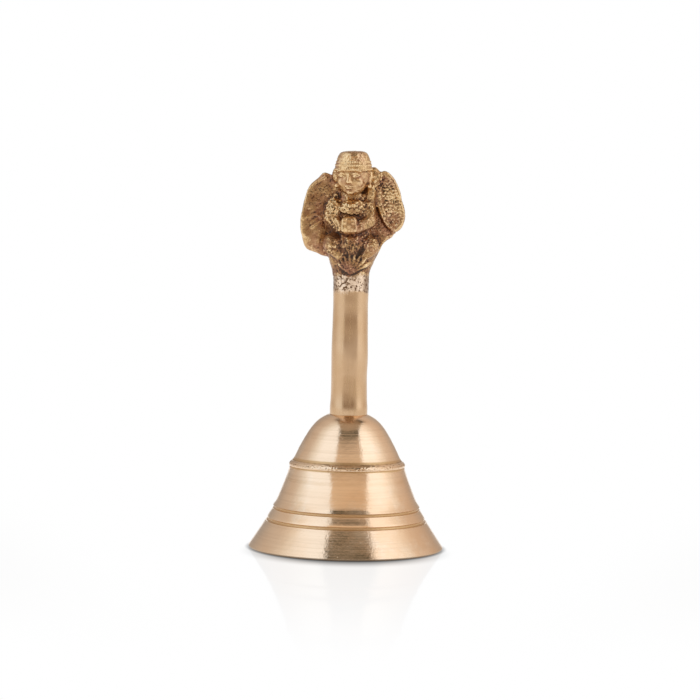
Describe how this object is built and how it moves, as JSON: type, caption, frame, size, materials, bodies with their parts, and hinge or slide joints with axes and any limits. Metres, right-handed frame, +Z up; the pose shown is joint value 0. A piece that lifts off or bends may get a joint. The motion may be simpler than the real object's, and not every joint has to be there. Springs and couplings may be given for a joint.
{
  "type": "hand bell",
  "caption": "Brass hand bell with a flared turned shell, a cast handle topped by a winged seated figure, and a clapper swinging inside on a link.",
  "frame": {"origin": "centre of the bell's mouth, in the plane that the rim stands on", "axes": "+Z up the bell's axis towards the figure's head, -Y the way the figure faces, +X to the right of someone facing the figure"},
  "size_m": [0.0686, 0.0686, 0.1397],
  "materials": {
    "turned_brass": "lathe-turned and buffed, fine lines round the axis",
    "cast_brass": "sand-cast and pitted, dark in the hollows and rubbed bright on the high places; the stem is hand-buffed",
    "plated_steel": "dull zinc plate",
    "steel_wire": "drawn wire, slightly dulled",
    "clapper_brass": "cast and roughly turned, dull"
  },
  "bodies": {
    "bell": {"bell_shell": "turned_brass", "figure_handle": "cast_brass", "eye_bolt": "plated_steel", "crown_washer": "plated_steel", "lock_nut": "plated_steel"},
    "link": {"hanger_link": "steel_wire"},
    "clapper": {"clapper_rod": "clapper_brass", "clapper_ball": "clapper_brass"}
  },
  "joints": [
    {"name": "clapper_side_swing", "type": "hinge", "parent": "bell", "child": "link", "pos_m": [0, 0, 0.0326], "axis": [0, 1, 0], "range_deg": [-43.5, 43.5]},
    {"name": "clapper_cross_swing", "type": "hinge", "parent": "link", "child": "clapper", "pos_m": [0, 0, 0.02745], "axis": [1, 0, 0], "range_deg": [-12, 12]}
  ]
}
